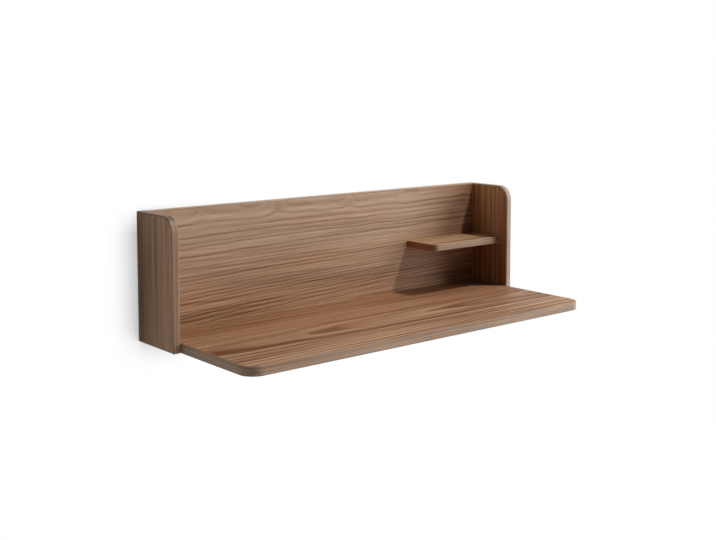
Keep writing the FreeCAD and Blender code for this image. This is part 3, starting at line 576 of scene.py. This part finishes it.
def plated_steel():
    material, tree, shader, place = new_material("plated_steel")
    haze = noise(tree, place, (90.0, 90.0, 90.0), 3.0)
    marks = noise(tree, place, (900.0, 900.0, 900.0), 2.0, (1.0, 5.0, 2.0))
    colour = mix_colours(tree, spread(tree, haze, 0.3, 0.7), (0.60, 0.61, 0.63, 1),
                         (0.70, 0.69, 0.64, 1))
    roughness = spread(tree, calc(tree, "ADD", haze, marks), 0.7, 1.3, 0.22, 0.40)
    finish_surface(tree, shader, colour, roughness, marks, 0.00002)
    shader.inputs["Metallic"].default_value = 1.0
    return material


def cast_zinc():
    material, tree, shader, place = new_material("cast_zinc")
    flow = noise(tree, place, (220.0, 220.0, 220.0), 3.0)
    grit = noise(tree, place, (2200.0, 2200.0, 2200.0), 2.0, (2.0, 1.0, 7.0))
    colour = mix_colours(tree, spread(tree, flow, 0.3, 0.7), (0.40, 0.41, 0.43, 1),
                         (0.54, 0.55, 0.56, 1))
    roughness = spread(tree, calc(tree, "ADD", flow, grit), 0.7, 1.3, 0.38, 0.55)
    finish_surface(tree, shader, colour, roughness, grit, 0.00004)
    shader.inputs["Metallic"].default_value = 1.0
    return material


def threaded_bolt():
    shape = bmesh.new()
    turn(shape, bolt_outline)
    cut_thread(shape, -bolt_thread_length, 0.0, bolt_root, bolt_crest, bolt_pitch)
    return closed_mesh("cam_bolt", shape)


steel = plated_steel()
bolt = threaded_bolt()
for node in ("back_panel_cam_bolts", "desk_cam_bolts", "shelf_cam_bolt"):
    places = []
    for low, high in solids_of(node):
        on_right = low.x > 0
        foot = (low + high) / 2
        foot.x = high.x - bolt_thread_length if on_right else low.x + bolt_thread_length
        places.append((foot, -X_AXIS if on_right else X_AXIS))
    fit_copies(node, bolt, places, steel)

zinc = cast_zinc()
for node in ("back_panel_cams", "desk_cams", "shelf_cam"):
    paint(node, zinc)


# ---- Screws --------------------------------------------------------------------------------------
# Plated steel, with a socket for a 3 mm hexagon key. Long ones run through the back panel into the
# desk top and the shelf, their heads sunk, and short ones with round heads hold the hanging rail.

key_across_flats = 0.003
key_depth = 0.0016
key_corner = key_across_flats / math.sqrt(3)

# heights and radii, point downwards: 0 is the top of a sunk head, or the seat of a round one
long_root = 0.0025
long_crest = 0.0035
long_pitch = 0.003
long_thread = (-0.047, -0.014)
long_head_radius = 0.005
long_head_arris = 0.0002
long_head_height = 0.0016
long_shank_taper = (-0.012, -0.013)
long_point_taper = (-0.045, -0.050)
long_screw_outline = ((0.0, key_corner), (0.0, long_head_radius - long_head_arris),
                      (-long_head_arris, long_head_radius), (-long_head_height, long_crest),
                      (long_shank_taper[0], long_crest), (long_shank_taper[1], long_root),
                      (long_point_taper[0], long_root), (long_point_taper[1], 0.0))

rail_root = 0.0013
rail_crest = 0.002
rail_pitch = 0.0014
rail_thread = (-0.0125, -0.002)
rail_head_height = 0.0024
rail_head_radius = 0.004
rail_shank_taper = (-0.0015, -0.002)
rail_point_taper = (-0.011, -0.014)
rail_head_dome = ((rail_head_height, 0.0027), (0.0020, 0.0035), (0.0014, 0.0039),
                  (0.0008, rail_head_radius))
rail_screw_outline = ((rail_head_height, key_corner), *rail_head_dome, (0.0, rail_head_radius),
                      (0.0, rail_crest), (rail_shank_taper[0], rail_crest),
                      (rail_shank_taper[1], rail_root), (rail_point_taper[0], rail_root),
                      (rail_point_taper[1], 0.0))


def cut_socket(shape):
    """Makes the open rim of a turned head six-sided, and sinks it to the socket's depth."""
    rim = [edge for edge in shape.edges if edge.is_boundary]
    for vert in {vert for edge in rim for vert in edge.verts}:
        past_corner = math.atan2(vert.co.y, vert.co.x) % (math.pi / 3)
        reach = key_across_flats / 2 / math.cos(past_corner - math.pi / 6)
        vert.co.xy = vert.co.xy.normalized() * reach
    grown = bmesh.ops.extrude_edge_only(shape, edges=rim)["geom"]
    sunk = [item for item in grown if isinstance(item, bmesh.types.BMVert)]
    bmesh.ops.translate(shape, verts=sunk, vec=(0, 0, -key_depth))
    bmesh.ops.contextual_create(shape, geom=[edge for edge in shape.edges if edge.is_boundary])


def socket_screw(name, outline, thread_ends, root, crest, pitch):
    shape = bmesh.new()
    turn(shape, outline)
    cut_socket(shape)
    cut_thread(shape, *thread_ends, root, crest, pitch)
    return closed_mesh(name, shape)


long_screw = socket_screw("long_screw", long_screw_outline, long_thread, long_root, long_crest,
                          long_pitch)
rail_screw = socket_screw("rail_screw", rail_screw_outline, rail_thread, rail_root, rail_crest,
                          rail_pitch)
for node, screw, head_height in (("desk_rear_screws", long_screw, 0.0),
                                 ("shelf_rear_screws", long_screw, 0.0),
                                 ("hanging_rail_screws", rail_screw, rail_head_height)):
    places = []
    for low, high in solids_of(node):
        foot = (low + high) / 2
        foot.y = high.y - head_height
        places.append((foot, Y_AXIS))
    fit_copies(node, screw, places, steel)

for pattern in (dowel, bolt, long_screw, rail_screw):
    bpy.data.meshes.remove(pattern)


# ---- Caps ----------------------------------------------------------------------------------------
# Brown moulded plastic discs, 1 mm thick with a stub behind, pressed into the cams under the desk
# top and the shelf to hide them.

def moulded_plastic():
    material, tree, shader, place = new_material("moulded_plastic")
    flow = noise(tree, place, (120.0, 120.0, 120.0), 2.0)
    texture = noise(tree, place, (3000.0, 3000.0, 3000.0), 2.0, (3.0, 3.0, 3.0))
    colour = mix_colours(tree, flow, (0.120, 0.070, 0.045, 1), (0.150, 0.090, 0.060, 1))
    roughness = spread(tree, texture, 0.3, 0.7, 0.42, 0.56)
    finish_surface(tree, shader, colour, roughness, texture, 0.00005)
    return material


plastic = moulded_plastic()
paint("desk_cam_caps", plastic)
paint("shelf_cam_cap", plastic)


# ---- Room ----------------------------------------------------------------------------------------
# The desk hangs on a plain white wall, 800 mm clear of a pale floor. Wall and floor are sheets that
# are seen from one side only, so the rear and the underside of the desk are seen through them, and
# the rear is lit through the wall.

room_reach = 6.0
floor_clearance = 0.80
floor_height = cad_box[0].z - floor_clearance
wall_clearance = 0.1
wall_foot = floor_height + wall_clearance
wall_gap = 0.001
matt = 0.9
floor_glow = 0.62
# the shade on the wall beside the desk: how far it reaches, how fast it fades and how deep it is
shade_reach = 0.085
shade_fading = 1.6
shade_depth = 1.45
# rays that start this close to the wall's front, on the desk's rear, pass through it
passing_reach = 0.010


def sheet(name, corners):
    shape = bmesh.new()
    shape.faces.new([shape.verts.new(corner) for corner in corners])
    mesh = bpy.data.meshes.new(name)
    shape.to_mesh(mesh)
    shape.free()
    made = bpy.data.objects.new(name, mesh)
    bpy.context.scene.collection.objects.link(made)
    return made


floor = sheet("floor", [(x, y, floor_height) for x, y in
                        ((-room_reach, -room_reach), (room_reach, -room_reach),
                         (room_reach, room_reach), (-room_reach, room_reach))])
wall = sheet("wall", [(x, wall_gap, z) for x, z in
                      ((-room_reach, wall_foot), (room_reach, wall_foot),
                       (room_reach, room_reach), (-room_reach, room_reach))])


def seen_directly(tree):
    """1 for the rays of the camera, of reflections and of glass, and 0 for those that light things."""
    path = add(tree, "LightPath").outputs
    mirrored = calc(tree, "MAXIMUM", path["Is Glossy Ray"], path["Is Transmission Ray"])
    return calc(tree, "MAXIMUM", path["Is Camera Ray"], mirrored)


def white_glow(tree, strength):
    return add(tree, "Emission", {"Color": (1, 1, 1, 1), "Strength": strength}).outputs[0]


def finish_sheet(tree, shader, looks, passing=0.0):
    """Gives a sheet its front: the shader lights the desk, and looks is what is seen directly. The
    sheet is clear from behind and where passing is 1."""
    front = add(tree, "MixShader", {0: seen_directly(tree), 1: shader.outputs[0], 2: looks})
    behind = add(tree, "NewGeometry").outputs["Backfacing"]
    clear = add(tree, "BsdfTransparent")
    chosen = add(tree, "MixShader", {0: calc(tree, "MAXIMUM", passing, behind), 1: front.outputs[0],
                                     2: clear.outputs[0]})
    tree.links.new(chosen.outputs[0], tree.nodes["Material Output"].inputs["Surface"])


def pale_floor():
    material, tree, shader, place = new_material("pale_floor")
    grain = noise(tree, place, (40.0, 40.0, 40.0), 3.0)
    colour = mix_colours(tree, grain, (0.78, 0.78, 0.78, 1), (0.82, 0.82, 0.82, 1))
    tree.links.new(colour, shader.inputs["Base Color"])
    shader.inputs["Roughness"].default_value = matt
    looks = add(tree, "AddShader", {0: shader.outputs[0], 1: white_glow(tree, floor_glow)})
    finish_sheet(tree, shader, looks.outputs[0])
    return material


def white_wall():
    """Lights the desk as white paint does. Seen directly it is white, shaded close beside the desk."""
    material, tree, shader, place = new_material("white_wall")
    shader.inputs["Base Color"].default_value = (0.8, 0.8, 0.8, 1)
    shader.inputs["Roughness"].default_value = matt
    split = add(tree, "SeparateXYZ", {0: place})
    left = cad_box[0].x
    top = cad_box[1].z
    beside = spread(tree, split.outputs["X"], left + 0.05, left + 0.25, 1.0, 0.0)
    below = spread(tree, split.outputs["Z"], top - 0.051, top + 0.019, 1.0, 0.0)
    contact = add(tree, "AmbientOcclusion", {"Distance": shade_reach}, samples=16)
    covered = calc(tree, "POWER", calc(tree, "SUBTRACT", 1.0, contact.outputs["AO"]), shade_fading)
    covered = calc(tree, "MULTIPLY", covered, calc(tree, "MULTIPLY", beside, below))
    looks = white_glow(tree, calc(tree, "MULTIPLY_ADD", covered, -shade_depth, 1.0))
    ray_length = add(tree, "LightPath").outputs["Ray Length"]
    finish_sheet(tree, shader, looks, calc(tree, "LESS_THAN", ray_length, passing_reach))
    return material


floor.data.materials.append(pale_floor())
wall.data.materials.append(white_wall())

# The sky is white to look at. It lights the rear through the wall, and the front hardly at all.
front_fill = 0.03
rear_fill = 0.75
world = bpy.data.worlds.new("studio")
bpy.context.scene.world = world
world.use_nodes = True
sky = world.node_tree
direction = add(sky, "SeparateXYZ", {0: add(sky, "TexCoord").outputs["Generated"]})
fill = spread(sky, direction.outputs["Y"], -0.1, 0.3, front_fill, rear_fill)
strength = add(sky, "Mix", {"Factor": seen_directly(sky), "A": fill, "B": 1.0}).outputs[0]
sky.links.new(strength, sky.nodes["Background"].inputs["Strength"])
sky.nodes["Background"].inputs["Color"].default_value = (1, 1, 1, 1)


def lamp(name, place, target, size, power):
    light = bpy.data.lights.new(name, "AREA")
    light.shape = "DISK"
    light.size = size
    light.energy = power
    made = bpy.data.objects.new(name, light)
    made.location = place
    made.rotation_euler = (Vector(target) - Vector(place)).to_track_quat("-Z", "Y").to_euler()
    made.visible_camera = False
    bpy.context.scene.collection.objects.link(made)


# A small high lamp on the right draws the shadows, and a large one beside the viewer softens them.
middle = (0.0, -0.15, -0.05)
lamp("high_lamp", (1.46, -0.97, 2.85), middle, size=0.25, power=92.0)
lamp("front_lamp", (4.74, -2.88, 1.18), middle, size=4.5, power=308.0)

camera = bpy.data.cameras.new("camera")
camera.sensor_width = 36.0
camera.lens = 54.531
camera.shift_y = -0.1347
view = bpy.data.objects.new("camera", camera)
view.location = (-1.7456, -2.2373, 0.3851)
view.rotation_euler = (math.radians(85.0), 0.0, math.radians(-39.734))
bpy.context.scene.collection.objects.link(view)
bpy.context.scene.camera = view
bpy.context.scene.view_settings.view_transform = "Standard"
